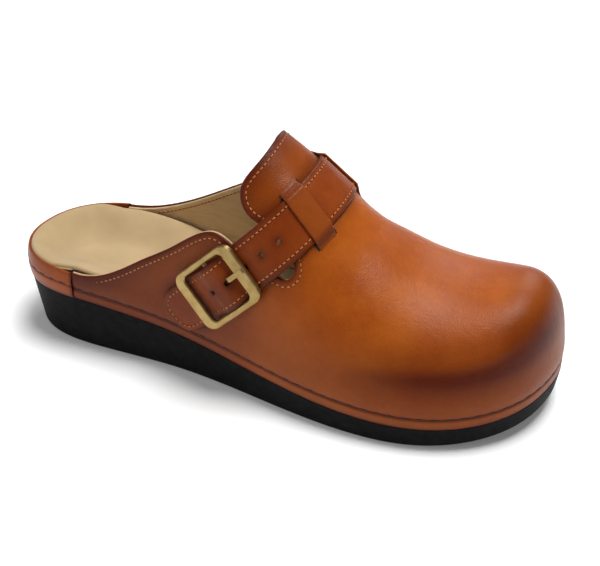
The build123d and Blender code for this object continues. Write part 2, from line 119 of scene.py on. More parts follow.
def area_light(name, place, aim, size, watts):
    """A round soft light."""
    data = bpy.data.lights.new(name, "AREA")
    data.size, data.energy, data.shape = size, watts, "DISK"
    light = bpy.data.objects.new(name, data)
    light.location = place
    light.rotation_mode = "QUATERNION"
    light.rotation_quaternion = (Vector(place) - Vector(aim)).to_track_quat("Z", "Y")
    bpy.context.scene.collection.objects.link(light)


def set_inputs(node, values):
    for key, value in values.items():
        node.inputs[key].default_value = value


def set_studio():
    """Large soft lights, a white surround and a pale floor."""
    area_light("key", (0.25, 0.1, 1.6), (0.02, 0, 0.04), 0.8, 27)
    area_light("fill", (-0.9, -0.9, 0.7), (0, 0, 0.04), 0.8, 2.5)
    area_light("back", (0.1, 1.3, 0.9), (0, 0, 0.05), 0.8, 7)
    world = bpy.data.worlds.new("studio")
    world.use_nodes = True
    set_inputs(world.node_tree.nodes["Background"], {"Color": (1, 1, 1, 1), "Strength": 0.16})
    bpy.context.scene.world = world
    bpy.context.scene.view_settings.view_transform = "Standard"
    reach, steps, drop = 3.0, 24, 0.0002
    turns = np.linspace(0, 2 * math.pi, steps, endpoint=False)
    mesh = bpy.data.meshes.new("floor")
    ring = [(reach * math.cos(a), reach * math.sin(a), -drop) for a in turns]
    mesh.from_pydata(ring, [], [tuple(range(steps))])
    floor = bpy.data.objects.new("floor", mesh)
    paper = bpy.data.materials.new("paper")
    paper.use_nodes = True
    set_inputs(paper.node_tree.nodes["Principled BSDF"], {
        "Base Color": (0.93, 0.93, 0.93, 1), "Roughness": 0.9, "Specular IOR Level": 0.0,
        "Emission Color": (1, 1, 1, 1), "Emission Strength": 0.12,
    })
    mesh.materials.append(paper)
    bpy.context.scene.collection.objects.link(floor)


set_camera()
set_studio()


# ---- curves and the skin of the upper ----
def spline(points, count, closed=False):
    """Smooth curve through the points, sampled evenly. Its ends start along the cubic through four points."""
    p = np.array(points, float)
    if closed:
        p = np.vstack([p, p[:1]])
    h = np.linalg.norm(np.diff(p, axis=0), axis=1)
    n = len(h)
    knots = np.concatenate([[0], np.cumsum(h)])
    first = np.polyfit(knots[:4], p[:4], 3)[2]
    last = first if closed else np.polyfit(knots[-4:] - knots[-1], p[-4:], 3)[2]
    a, b = np.zeros((n + 1, n + 1)), np.zeros((n + 1, p.shape[1]))
    for i in range(1, n):
        a[i, i - 1 : i + 2] = h[i - 1], 2 * (h[i - 1] + h[i]), h[i]
        b[i] = 6 * ((p[i + 1] - p[i]) / h[i] - (p[i] - p[i - 1]) / h[i - 1])
    a[0, :2], b[0] = (2 * h[0], h[0]), 6 * ((p[1] - p[0]) / h[0] - first)
    a[n, n - 1 :], b[n] = (h[-1], 2 * h[-1]), 6 * (last - (p[-1] - p[-2]) / h[-1])
    m = np.linalg.solve(a, b)
    t = np.linspace(0, knots[-1], count, endpoint=not closed)
    i = np.clip(np.searchsorted(knots, t, side="right") - 1, 0, n - 1)
    u, v, w = (t - knots[i])[:, None], (knots[i + 1] - t)[:, None], h[i][:, None]
    return (
        m[i] * v**3 / (6 * w) + m[i + 1] * u**3 / (6 * w)
        + (p[i] / w - m[i] * w / 6) * v + (p[i + 1] / w - m[i + 1] * w / 6) * u
    )


def table(rows, x):
    """The value at x of a table of (x, value) rows."""
    return np.interp(x, *np.array(rows, float).T)


def near(distance, reach):
    """1 at no distance, falling off smoothly within about the reach."""
    return np.exp(-((distance / reach) ** 2))


def eased(share):
    """A share from 0 to 1, eased at both ends."""
    return share**2 * (3 - 2 * share)


def run_along(line):
    """The distance run at each point of a line."""
    return np.concatenate([[0], np.cumsum(np.linalg.norm(np.diff(line, axis=0), axis=1))])


def read_at(rows, run, at):
    """The rows of an array, interpolated where the run is at the given distances."""
    return np.column_stack([np.interp(at, run, column) for column in rows.T])


sole_line, ridge_line = spline(SOLE_TOP, 600), spline(RIDGE, 600)
RING = spline(OUTLINE, 1200, closed=True)
RING_TANGENT = np.roll(RING, -1, 0) - np.roll(RING, 1, 0)
RING_TANGENT /= np.linalg.norm(RING_TANGENT, axis=1)[:, None]
RING_IN = np.column_stack([RING_TANGENT[:, 1], -RING_TANGENT[:, 0]])


def sole_z(x):
    return table(sole_line, x)


def sides(inset):
    """The outline, moved inwards, as its outer side and inner side, heel to toe."""
    amount = inset(RING[:, 0]) if callable(inset) else inset
    ring = RING + RING_IN * np.reshape(amount, (-1, 1))
    ring = np.roll(ring, -ring[:, 0].argmin(), 0)
    toe = ring[:, 0].argmax()
    return np.vstack([ring[toe:], ring[:1]])[::-1], ring[: toe + 1]


def section(x, inset, outer, inner):
    """The skin's cross-section at x: foot, top, y of the outer side, ridge and inner side, and squareness."""
    low, high = np.interp(x, *outer.T), np.interp(x, *inner.T)
    slope = np.where(x < RIDGE[-1][0] - 1, (table(ridge_line, x + 1) - table(ridge_line, x - 1)) / 2, 0)
    height = table(ridge_line, np.minimum(x, RIDGE[-1][0])) - inset * np.hypot(1, slope)
    share = np.clip((x - TOE_ROUND_FROM) / (outer[-1][0] - TOE_ROUND_FROM), 0, 1)
    foot = sole_z(x)
    top = foot + (height - foot) * (1 - share**TOE_ROUND_POWER) ** (1 / TOE_ROUND_POWER)
    middle = np.clip(table(RIDGE_Y, x), np.minimum(low + 1, high), np.maximum(high - 1, low))
    return foot, top, low, middle, high, table(SQUARENESS, x)


SKIN = sides(0)


def skin_grid(stations, angles, inset=0.0):
    """Points of the skin at stations x and arch angles, outer side first: an array of shape (x, angle, 3)."""
    foot, top, low, middle, high, n = (q[:, None] for q in section(stations, inset, *sides(inset)))
    a = angles[None, :]
    reach, rise = np.abs(np.cos(a)) ** (2 / n), np.abs(np.sin(a)) ** (2 / n)
    y = middle + reach * np.where(a < math.pi / 2, low - middle, high - middle)
    return np.dstack([np.broadcast_to(stations[:, None], y.shape), y, foot + (top - foot) * rise])


def outside(p):
    """Negative inside the skin. p is an array (..., 3)."""
    foot, top, low, middle, high, n = section(p[..., 0], 0, *SKIN)
    y, z = p[..., 1], p[..., 2]
    outer_half, inner_half = np.maximum(middle - low, 0.01), np.maximum(high - middle, 0.01)
    wide = np.where(y < middle, (middle - y) / outer_half, (y - middle) / inner_half)
    return np.abs(wide) ** n + (np.maximum(z - foot, 0) / np.maximum(top - foot, 0.01)) ** n - 1


def way_out(p):
    """Unit vectors out of the skin at the points p."""
    g = np.stack([outside(p + d) - outside(p - d) for d in np.eye(3) * 0.05], axis=-1)
    return g / np.linalg.norm(g, axis=-1)[..., None]


# ---- meshes ----
def normals_of(points, faces):
    """Unit normals at the points of a mesh of triangles and quads."""
    out = np.zeros_like(points)
    for size in (3, 4):
        rows = np.array([f for f in faces if len(f) == size], int)
        if len(rows):
            n = np.cross(points[rows[:, 2]] - points[rows[:, 0]], points[rows[:, -1]] - points[rows[:, 1]])
            for k in range(size):
                np.add.at(out, rows[:, k], n)
    return out / np.maximum(np.linalg.norm(out, axis=1), 1e-12)[:, None]


def piece(name, points, faces, material, body="clog", slot="vamp_leather", marks=None, replaces=()):
    """A smooth-shaded mesh piece from points in millimetres. marks are named values for every point."""
    mesh = bpy.data.meshes.new(name)
    mesh.from_pydata((np.asarray(points) * MM).tolist(), [], [tuple(int(i) for i in f) for f in faces])
    for mark, values in (marks or {}).items():
        mesh.attributes.new(mark, "FLOAT", "POINT").data.foreach_set("value", np.asarray(values, np.float32))
    mesh.polygons.foreach_set("use_smooth", [True] * len(mesh.polygons))
    mesh.materials.append(material)
    made = bpy.data.objects.new(name, mesh)
    bpy.context.scene.collection.objects.link(made)
    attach(made, body)
    if replaces:
        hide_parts(*replaces)
    return made


def grid_faces(rows, columns, wrap=False):
    """Quads between the points of a grid. wrap joins its last column to its first."""
    i, j = np.meshgrid(np.arange(rows - 1), np.arange(columns if wrap else columns - 1), indexing="ij")
    k, here, below = (j + 1) % columns, i * columns, (i + 1) * columns
    return np.stack([here + j, below + j, below + k, here + k], -1).reshape(-1, 4)


def clip(points, faces, keep, extra=None):
    """The part of a mesh where keep, a value per point, is positive. Faces that cross zero are cut there."""
    points, keep = list(map(np.array, points)), list(keep)
    extra = {k: list(v) for k, v in (extra or {}).items()}
    cuts, kept = {}, []

    def cut(a, b):
        key = (min(a, b), max(a, b))
        if key not in cuts:
            t = keep[a] / (keep[a] - keep[b])
            cuts[key] = len(points)
            points.append(points[a] * (1 - t) + points[b] * t)
            for values in extra.values():
                values.append(values[a] * (1 - t) + values[b] * t)
        return cuts[key]

    for face in faces:
        signs = [keep[i] > 0 for i in face]
        if all(signs):
            kept.append(tuple(face))
        elif any(signs):
            ring = []
            for a, b in zip(face, np.roll(face, -1)):
                if keep[a] > 0:
                    ring.append(a)
                if (keep[a] > 0) != (keep[b] > 0):
                    ring.append(cut(a, b))
            kept += [tuple(ring)] if len(ring) < 5 else [tuple(ring[:3]), (ring[0], *ring[2:])]
    used = sorted({i for f in kept for i in f})
    index = {old: new for new, old in enumerate(used)}
    kept = [tuple(index[i] for i in f) for f in kept]
    extra = {k: np.array([values[i] for i in used]) for k, values in extra.items()}
    return np.array([points[i] for i in used]), kept, extra


def shell(points, faces, thickness, marks=None):
    """Gives a surface a thickness, inwards, and rounds its edges."""
    points = np.asarray(points, float)
    faces = [tuple(int(i) for i in f) for f in faces]
    normals = normals_of(points, faces)
    count = len(points)
    edges = dict.fromkeys((a, b) for f in faces for a, b in zip(f, f[1:] + f[:1]))
    rim = [e for e in edges if (e[1], e[0]) not in edges]
    out = np.zeros_like(points)
    for a, b in rim:
        o = np.cross(points[b] - points[a], normals[a])
        out[a] += o
        out[b] += o
    out /= np.maximum(np.linalg.norm(out, axis=1), 1e-9)[:, None]
    layers = [points - normals * thickness]
    ids = sorted({i for e in rim for i in e})
    place = {}
    for step in range(1, RIM_STEPS + 1):
        share = step / (RIM_STEPS + 1)
        for i in ids:
            place[(i, step)] = 2 * count + len(place)
        bulge = out[ids] * thickness * RIM_BULGE * math.sin(math.pi * share)
        layers.append(points[ids] - normals[ids] * thickness * share + bulge)
    for i in ids:
        place[(i, 0)], place[(i, RIM_STEPS + 1)] = i, count + i
    walls = [
        (place[(a, step)], place[(a, step + 1)], place[(b, step + 1)], place[(b, step)])
        for a, b in rim for step in range(RIM_STEPS + 1)
    ]
    inner = [tuple(i + count for i in reversed(f)) for f in faces]
    more = {k: np.concatenate([v, v, *[np.asarray(v)[ids]] * RIM_STEPS]) for k, v in (marks or {}).items()}
    return np.vstack([points, *layers]), faces + inner + walls, more


def polygon_distance(p, polygon):
    """Distance from points (n, 2) to a polygon's edges, positive outside it."""
    best, inside = np.full(len(p), 1e9), np.zeros(len(p), bool)
    for s, e in zip(polygon, np.roll(polygon, -1, 0)):
        d = e - s
        t = np.clip(((p - s) @ d) / max(d @ d, 1e-12), 0, 1)
        best = np.minimum(best, np.hypot(*(p - s - t[:, None] * d).T))
        with np.errstate(divide="ignore", invalid="ignore"):
            crosses = (s[1] > p[:, 1]) != (e[1] > p[:, 1])
            inside ^= crosses & (p[:, 0] < (e[0] - s[0]) * (p[:, 1] - s[1]) / (e[1] - s[1]) + s[0])
    return np.where(inside, -best, best)


def tube(line, radius, sides_count=6):
    """A round thread along a line of points, closed at both ends."""
    line = np.asarray(line, float)
    along = np.gradient(line, axis=0)
    along /= np.maximum(np.linalg.norm(along, axis=1), 1e-9)[:, None]
    side = np.cross(along, (0.3, 0.2, 0.93))
    side /= np.linalg.norm(side, axis=1)[:, None]
    up = np.cross(along, side)
    radius = np.broadcast_to(radius, len(line))[:, None, None]
    turn = np.linspace(0, 2 * math.pi, sides_count, endpoint=False)[None, :, None]
    rings = line[:, None] + radius * (np.cos(turn) * side[:, None] + np.sin(turn) * up[:, None])
    faces = [tuple(f[::-1]) for f in grid_faces(len(line), sides_count, wrap=True)]
    last = (len(line) - 1) * sides_count
    faces += [tuple(range(sides_count)), tuple(last + i for i in reversed(range(sides_count)))]
    return rings.reshape(-1, 3), faces


def gather(parts):
    """Several (points, faces) as one."""
    points, faces, base = [], [], 0
    for part_points, part_faces in parts:
        points.append(part_points)
        faces += [tuple(int(i) + base for i in face) for face in part_faces]
        base += len(part_points)
    return np.vstack(points), faces


# ---- materials ----
class Nodes:
    """A short way to build a material's nodes."""

    def __init__(self, name):
        self.material = bpy.data.materials.new(name)
        self.material.use_nodes = True
        self.tree = self.material.node_tree
        self.shader = self.tree.nodes["Principled BSDF"]
        self.place = self.add("ShaderNodeTexCoord").outputs["Object"]

    def add(self, kind, inputs=None, **settings):
        node = self.tree.nodes.new(kind)
        for key, value in settings.items():
            setattr(node, key, value)
        for key, value in (inputs or {}).items():
            self.set(node.inputs[key], value)
        return node

    def set(self, socket, value):
        if isinstance(value, bpy.types.NodeSocket):
            self.tree.links.new(value, socket)
        else:
            socket.default_value = value

    def scaled(self, scale):
        return self.add("ShaderNodeMapping", {"Vector": self.place, "Scale": scale}).outputs["Vector"]

    def noise(self, scale, detail=3.0, roughness=0.55, place=None, distortion=0.0):
        return self.add("ShaderNodeTexNoise", {
            "Vector": place or self.place, "Scale": scale, "Detail": detail, "Roughness": roughness,
            "Distortion": distortion,
        }).outputs["Fac"]

    def cells(self, scale, feature="DISTANCE_TO_EDGE"):
        inputs = {"Vector": self.place, "Scale": scale}
        return self.add("ShaderNodeTexVoronoi", inputs, feature=feature).outputs["Distance"]

    def ramp(self, value, *stops):
        node = self.add("ShaderNodeValToRGB", {"Fac": value})
        while len(node.color_ramp.elements) < len(stops):
            node.color_ramp.elements.new(0.5)
        for element, (place, colour) in zip(node.color_ramp.elements, stops):
            element.position = place
            element.color = (*colour, 1) if isinstance(colour, tuple) else (colour, colour, colour, 1)
        return node.outputs["Color"]

    def mix(self, share, a, b):
        """Colour a, with a share of colour b. The Mix node's sockets for colours are 6, 7 and output 2."""
        node = self.add("ShaderNodeMix", data_type="RGBA")
        for socket, value in ((0, share), (6, a), (7, b)):
            self.set(node.inputs[socket], (*value, 1) if isinstance(value, tuple) else value)
        return node.outputs[2]

    def between(self, value, low, high):
        return self.add("ShaderNodeMapRange", {"Value": value, "To Min": low, "To Max": high}).outputs[0]

    def math(self, operation, *values):
        node = self.add("ShaderNodeMath", operation=operation)
        for i, value in enumerate(values):
            self.set(node.inputs[i], value)
        return node.outputs[0]

    def mark(self, name):
        return self.add("ShaderNodeAttribute", attribute_name=name).outputs["Fac"]

    def bump(self, *layers):
        """Layers of (height, strength, distance in millimetres), the last one finest."""
        normal = None
        for height, strength, distance in layers:
            inputs = {"Height": height, "Strength": strength, "Distance": distance * MM}
            if normal is not None:
                inputs["Normal"] = normal
            normal = self.add("ShaderNodeBump", inputs).outputs["Normal"]
        self.set(self.shader.inputs["Normal"], normal)

    def finish(self, **sockets):
        """Sets the shader's own sockets, named with _ for each space."""
        for key, value in sockets.items():
            self.set(self.shader.inputs[key.replace("_", " ")], value)
        return self.material


def leather(name, light, base, dark, marked=True):
    """Burnished leather: a mottled base that goes dark where it is marked. The mark holds burnish and painted
    shade.
    """
    m = Nodes(name)
    cloud = m.noise(28, 4, 0.6)
    fine = m.noise(420, 2)
    colour = m.ramp(cloud, (0.3, base), (0.7, light))
    colour = m.mix(m.math("MULTIPLY", fine, 0.22), colour, dark)
    if marked:
        patchy = m.math("MULTIPLY_ADD", cloud, 0.5, 0.75)
        share = m.add("ShaderNodeClamp", {"Value": m.math("MULTIPLY", m.mark("burnish"), patchy)}).outputs[0]
        colour = m.mix(share, colour, dark)
    pores = m.ramp(m.cells(1150), (0.0, 0.0), (0.3, 1.0))
    folds = m.noise(130, 3, 0.6, m.scaled((1, 1.6, 1)), 0.4)
    m.bump((folds, 0.35, 0.5), (pores, 0.34, 0.14))
    return m.finish(Base_Color=colour, Roughness=m.between(cloud, 0.29, 0.42), Specular_IOR_Level=0.17)


def suede():
    """Pale suede with a short nap and faint clouds."""
    m = Nodes("suede_footbed")
    nap, cloud = m.noise(1400, 4, 0.7), m.noise(35, 3)
    colour = m.ramp(cloud, (0.3, (0.42, 0.295, 0.145)), (0.7, (0.52, 0.37, 0.195)))
    colour = m.mix(m.math("MULTIPLY", nap, 0.35), colour, (0.30, 0.20, 0.10))
    m.bump((cloud, 0.15, 0.6), (nap, 0.45, 0.15))
    return m.finish(Base_Color=colour, Roughness=0.95, Sheen_Weight=0.25, Sheen_Roughness=0.5)


def lining_leather():
    """Soft unfinished leather, finely wrinkled."""
    m = Nodes("lining_leather")
    cloud, creases = m.noise(30, 3), m.noise(160, 4, 0.65, m.scaled((0.5, 1, 2.2)), 0.8)
    colour = m.ramp(cloud, (0.3, (0.55, 0.37, 0.175)), (0.7, (0.72, 0.50, 0.26)))
    colour = m.mix(m.math("MULTIPLY", creases, 0.4), colour, (0.19, 0.13, 0.06))
    m.bump((creases, 0.9, 0.9), (m.cells(1300), 0.2, 0.08))
    return m.finish(Base_Color=colour, Roughness=0.6)


def brass():
    """Brushed brass, a little tarnished."""
    m = Nodes("antique_brass")
    brushed = m.noise(600, 3, 0.7, m.scaled((1, 1, 0.2)))
    stain = m.noise(220, 3)
    colour = m.ramp(stain, (0.3, (0.34, 0.225, 0.08)), (0.65, (0.44, 0.31, 0.125)))
    m.bump((brushed, 0.2, 0.05), (stain, 0.12, 0.15))
    return m.finish(Base_Color=colour, Roughness=m.between(brushed, 0.28, 0.46), Metallic=1.0)


def sole_foam():
    """Black moulded foam with a closed, slightly pitted skin."""
    m = Nodes("black_sole_foam")
    skin, cloud = m.cells(900, feature="F1"), m.noise(60, 3)
    colour = m.ramp(m.noise(260, 3), (0.35, (0.0012, 0.0012, 0.0015)), (0.7, (0.0055, 0.0055, 0.006)))
    m.bump((cloud, 0.08, 0.5), (skin, 0.35, 0.1))
    return m.finish(Base_Color=colour, Roughness=0.62, Specular_IOR_Level=0.07)


def thread(name, colour, dark):
    """Twisted thread, with painted shade in the grooves of its twist."""
    m = Nodes(name)
    twist = m.add("ShaderNodeTexWave", {"Vector": m.place, "Scale": 900.0, "Distortion": 1.0}).outputs["Fac"]
    m.bump((twist, 0.4, 0.08))
    # The colour follows the twist's bump: dark in its grooves, a painted shade.
    return m.finish(Base_Color=m.mix(twist, dark, colour), Roughness=0.7)


def plain_fibre(name, light, dark, scale):
    """Matte fibres or grains, flecked light and dark."""
    m = Nodes(name)
    flecks = m.noise(scale, 4, 0.7)
    m.bump((flecks, 0.4, 0.2))
    return m.finish(Base_Color=m.ramp(flecks, (0.35, dark), (0.65, light)), Roughness=0.9)


COGNAC = leather("cognac_leather", (0.47, 0.112, 0.008), (0.31, 0.056, 0.003), (0.085, 0.010, 0.001))
STRAP_LEATHER = leather("strap_leather", (0.29, 0.055, 0.005), (0.17, 0.024, 0.002), (0.042, 0.006, 0.001))
RAND_LEATHER = leather("rand_leather", (0.38, 0.085, 0.013), (0.28, 0.052, 0.007), (0.07, 0.008, 0.002))
CHAPE_LEATHER = leather(
    "chape_leather", (0.30, 0.060, 0.012), (0.21, 0.036, 0.006), (0.035, 0.005, 0.002), marked=False,
)
SUEDE, LINING_SKIN, BRASS, FOAM = suede(), lining_leather(), brass(), sole_foam()
TAN_THREAD = thread("tan_thread", (0.62, 0.22, 0.06), (0.34, 0.09, 0.02))
DARK_THREAD = thread("dark_thread", (0.050, 0.016, 0.008), (0.018, 0.007, 0.004))
CORK = plain_fibre("cork_latex", (0.30, 0.19, 0.10), (0.12, 0.07, 0.04), 500)
BOARD_FIBRE = plain_fibre("fibre_board", (0.35, 0.26, 0.16), (0.22, 0.16, 0.10), 800)
# Near-black for the slits and the awl holes: painted shade in the gaps.
GAP_SHADE = plain_fibre("painted_gap_shade", (0.020, 0.008, 0.005), (0.008, 0.003, 0.002), 600)
RAW_EDGE = plain_fibre("raw_leather_edge", (0.42, 0.30, 0.20), (0.22, 0.13, 0.08), 900)
FELT = plain_fibre("puff_felt", (0.65, 0.60, 0.50), (0.50, 0.45, 0.38), 900)

for node, material in {
    "outsole": FOAM, "insole_board": BOARD_FIBRE, "footbed_core": CORK, "toe_puff": FELT,
    "buckle_frame": BRASS, "buckle_prong": BRASS, "buckle_chape": CHAPE_LEATHER,
}.items():
    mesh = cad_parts[node].data
    mesh.materials.clear()
    mesh.materials.append(material)


# ---- upper ----
def opening(wing):
    """The polygon that the top line leaves open on one side, in side view, with the notch's round end."""
    centre = np.array(NOTCH_CENTRE)
    start, end = (math.atan2(*(np.array(p) - centre)[::-1]) for p in (NOTCH_REAR, NOTCH_FRONT))
    arc = [centre + NOTCH_RADIUS * np.array((math.cos(a), math.sin(a))) for a in np.linspace(start, end, 24)]
    top_line = spline([WING_START, *wing, NOTCH_REAR], 120)
    tongue = spline([NOTCH_FRONT, *TONGUE], 90)
    return np.vstack([top_line, arc, tongue, [(TONGUE[-1][0], 200), (-200, 200), (-200, WING_START[1])]])


OPENINGS = {-1: opening(WING_OUTER), 1: opening(WING_INNER)}
TOE_STEPS = 1 - (1 - np.linspace(0, 0.955, 46)[1:]) ** 3  # crowded towards the tip
FINE_ANGLE = 0.16  # the arch angle below which the columns are fine, for the sole seam
edge_angles = np.linspace(0, FINE_ANGLE, 34)
arch_angles = np.linspace(FINE_ANGLE, math.pi - FINE_ANGLE, 150)[1:-1]
ANGLES = np.concatenate([edge_angles, arch_angles, math.pi - edge_angles[::-1]])


def upper_grid(inset, lowered=0.0):
    """The skin at an inset, cut at the top line. Returns points, faces and the distance from the opening."""
    tip = sides(inset)[0][-1][0]
    toe = TOE_ROUND_FROM + (tip - TOE_ROUND_FROM) * TOE_STEPS
    stations = np.concatenate([np.linspace(RAND_END, TOE_ROUND_FROM, 201), toe])
    grid = skin_grid(stations, ANGLES, inset)
    side = np.where(ANGLES < math.pi / 2, -1, 1)
    points = grid.reshape(-1, 3)
    which = np.broadcast_to(side, grid.shape[:2]).ravel()
    distance = np.zeros(len(points))
    for s, polygon in OPENINGS.items():
        distance[which == s] = polygon_distance(points[which == s][:, [0, 2]], polygon)
    count, last = len(ANGLES), (len(stations) - 1) * len(ANGLES)
    tip_cap = [(j + 1, j, count - 1 - j, count - 2 - j) for j in range(count // 2 - 1)]
    faces = np.vstack([grid_faces(len(stations), count), np.array(tip_cap) + last])
    return clip(points, faces, distance - lowered, {"distance": distance})


# Where the toe's top turns down into its wall: the leather is darkest along it.
CREASE = spline([
    (44, -44, 34), (58, -44, 36), (70, -43, 37), (83, -41, 38), (97, -36, 39.5), (109, -28, 42),
    (117, -15, 44.5), (121, 2, 47), (117, 20, 47), (106, 34, 45), (87, 43, 42), (60, 44, 36),
], 160)
# A line a little above the crease: the upper is raised into a ridge along it, and a painted highlight band
# follows it.
ABOVE_CREASE = CREASE + (-5.5, 0.0, 4.5)


def line_distance(points, line):
    """Distance of points (n, 3) from the nearest point of a finely sampled line."""
    return np.min([np.linalg.norm(points - q, axis=1) for q in line], axis=0)


def foot_height(points):
    """Height over the sole's edge."""
    return points[:, 2] - sole_z(points[:, 0])


def strap_axes(points):
    """How far points are across the strap's plane and along it."""
    x, _, z = points.T
    return (z - x) * HALF_ROOT, (z + x) * HALF_ROOT


def beside_strap(across):
    """How far a place is beyond the strap's edges, negative under the strap."""
    return np.abs(across - STRAP_ACROSS) - STRAP_WIDTH / 2


def ramp_up(value, start, length):
    """0 before the start, rising to 1 over the length."""
    return np.clip((value - start) / length, 0, 1)


def burnish(points, distance):
    """How dark the leather is, from 0 to 1, along its edges, toe, wing and tongue, with painted shade beside
    the strap and low on the sides, and a painted highlight band above the crease. distance is the distance from
    the top line.
    """
    x, y, z = points.T
    foot = foot_height(points)
    across, along = strap_axes(points)
    to_crease = line_distance(points, CREASE)
    crease = 0.62 * near(to_crease, 8.5) * ramp_up(x, 35, 40)
    # Along the line above the crease the darkening is lifted, a painted highlight band; it is also weaker on
    # the inner side.
    crease *= (1 - 0.75 * near(line_distance(points, ABOVE_CREASE), 4.5)) * (1 - 0.5 * ramp_up(y, -8, 20))
    shoulder = 0.22 * near(to_crease, 16) * ramp_up(x, 30, 50)
    # Painted shade on the upper along the strap's edges.
    strap = 0.35 * near(np.maximum(beside_strap(across), 0), 4) * ramp_up(along, -4, 10)
    wing = 0.30 * ramp_up(-x, -2, 30)
    edge = 0.5 * near(distance, 1.1) + 0.3 * near(distance, 7)
    tongue = 0.42 * ramp_up(z, 78, 26) * ramp_up(-x, -26, 24)
    before_strap = 0.2 * near(along - 84, 7) * near(across - STRAP_ACROSS, 16)
    seam = 0.5 * near(foot - SEAM_HEIGHT, 1.0) + 0.4 * near(foot, 1.4)
    # Painted shade: the sides darker low down, towards the sole.
    low_side_shade = 0.36 * ramp_up(-foot, -46, 30)
    toe_rim = 0.38 * ramp_up(x, 98, 14) * near(z - 60, 12)
    total = crease + shoulder + strap + wing + edge + tongue + before_strap + seam + low_side_shade + toe_rim
    return np.clip(total, 0, 1)


def surface_relief(points):
    """How far the upper stands out: in along the sole seam, and out above it and along the crease."""
    foot = foot_height(points)
    ridge = 0.55 * near(line_distance(points, ABOVE_CREASE), 3.2) * ramp_up(points[:, 0], 60, 30)
    return -0.45 * near(foot - SEAM_HEIGHT, 0.8) + 0.35 * near(foot - 11, 5) - 0.2 * near(foot, 1.0) + ridge


def swell_over(across):
    """How far the strap lifts the upper beside itself, in line with a bridge."""
    beyond = beside_strap(across)
    return SWELL * ramp_up(beyond, 0, 1.5) * near(np.maximum(beyond - 1.5, 0), 5)


def bridge_swell(points):
    """The upper lifted by the strap at the ends of the bridges, but not under the strap or on the crest."""
    across, along = strap_axes(points)
    off_crest = ramp_up(np.abs(points[:, 1] - RIDGE_Y[1][1]), 8, 8)
    return swell_over(across) * near(along - (BRIDGE_LOW + BRIDGE_HIGH) / 2, 5.5) * off_crest


def contour(points, faces, values, level):
    """Lines on a mesh where the values cross a level, each as an array of points, longest first."""
    ends, places = {}, {}
    for face in faces:
        hit = []
        for a, b in zip(face, face[1:] + face[:1]):
            if (values[a] > level) != (values[b] > level):
                key = (min(a, b), max(a, b))
                t = (level - values[key[0]]) / (values[key[1]] - values[key[0]])
                places[key] = points[key[0]] * (1 - t) + points[key[1]] * t
                hit.append(key)
        if len(hit) == 2:
            for p, q in (hit, hit[::-1]):
                ends.setdefault(p, []).append(q)
    lines = []
    for start in sorted(ends, key=lambda k: len(ends[k])):
        if start not in ends:
            continue
        line, at = [start], start
        while at is not None:
            following = [k for k in ends.pop(at, []) if k in ends]
            at = following[0] if following else None
            if at is not None:
                line.append(at)
        lines.append(np.array([places[k] for k in line]))
    return sorted(lines, key=len, reverse=True)


def resample(line, step):
    """The line at even steps, smoothed a little."""
    run = run_along(line)
    even = read_at(line, run, np.linspace(0, run[-1], max(3, int(run[-1] / step))))
    for _ in range(3):
        even[1:-1] = (even[:-2] + 2 * even[1:-1] + even[2:]) / 4
    return even


stitch_holes = []


def stitches(line, out, pitch, length, radius, proud):
    """Separate arched stitches along a line, each with an awl hole at both ends, kept in stitch_holes. The
    holes are dark discs, painted shade in them.

    out gives the way out of the leather at an array of points. proud is half a stitch's rise, in radii.
    """
    line = resample(line, 0.25)
    ways, run = out(line), run_along(line)
    share = np.linspace(0, 1, 7)
    height = radius * (2 * proud * np.sin(math.pi * share) ** 0.6 - 1.1)
    thick = radius * (0.55 + 0.45 * np.sin(math.pi * share) ** 0.5)
    parts = []
    for k in range(int((run[-1] - length) / pitch)):
        at = length * 0.3 + k * pitch + rng.normal(0, pitch * 0.02) + share * length
        seat, off = read_at(line, run, at), read_at(ways, run, at)
        off /= np.linalg.norm(off, axis=1)[:, None]
        parts.append(tube(seat + off * height[:, None], thick))
        for end in (0, -1):
            # Each hole is a short dark disc at the leather's face: painted shade in the hole.
            stitch_holes.append(tube(seat[[end, end]] + off[[end, end]] * [[-0.3], [0.05]], radius * 0.9, 7))
    return parts


def thread_piece(name, parts, material, slot="vamp_leather"):
    """One piece from many stitches or holes."""
    piece(name, *gather(parts), material, slot=slot)


# ---- vamp and lining ----
points, faces, marks = upper_grid(0)
edge_distance = marks["distance"]
out = normals_of(points, faces)
topline = [line for line in contour(points, faces, edge_distance, TOP_LINE_IN) if len(line) > 60]
sole_seam = contour(points, faces, foot_height(points), SEAM_HEIGHT)[0]
points = points + out * (surface_relief(points) + bridge_swell(points))[:, None]
skin, skin_faces, skin_marks = shell(points, faces, LEATHER, {"burnish": burnish(points, edge_distance)})
piece("vamp", skin, skin_faces, COGNAC, marks=skin_marks, replaces=["vamp_upper"])

points, faces, _ = upper_grid(LEATHER + PLY_GAP, 0.25)
skin, skin_faces, _ = shell(points, faces, LINING - 0.1)
piece("lining", skin, skin_faces, LINING_SKIN, slot="lining_leather", replaces=["vamp_lining"])


def way_in(p):
    return -way_out(p)


parts = [stitch for line in topline for stitch in stitches(line, way_out, **FINE_STITCH)]
thread_piece("topline_stitches", parts, TAN_THREAD)
inner_lines = [line - way_out(line) * (LEATHER + LINING - 0.05) for line in topline]
parts = [stitch for line in inner_lines for stitch in stitches(line, way_in, **FINE_STITCH)]
thread_piece("lining_stitches", parts, TAN_THREAD, "lining_leather")
seam_line = sole_seam - way_out(sole_seam) * 0.4
thread_piece("sole_seam_stitches", stitches(seam_line, way_out, **COARSE_STITCH), DARK_THREAD)


# ---- instep strap ----
def strap_place(y, along, across):
    """A point, or a direction, of the strap's own axes in x, y, z."""
    return np.stack([(along - across) * HALF_ROOT, y, (along + across) * HALF_ROOT], axis=-1)


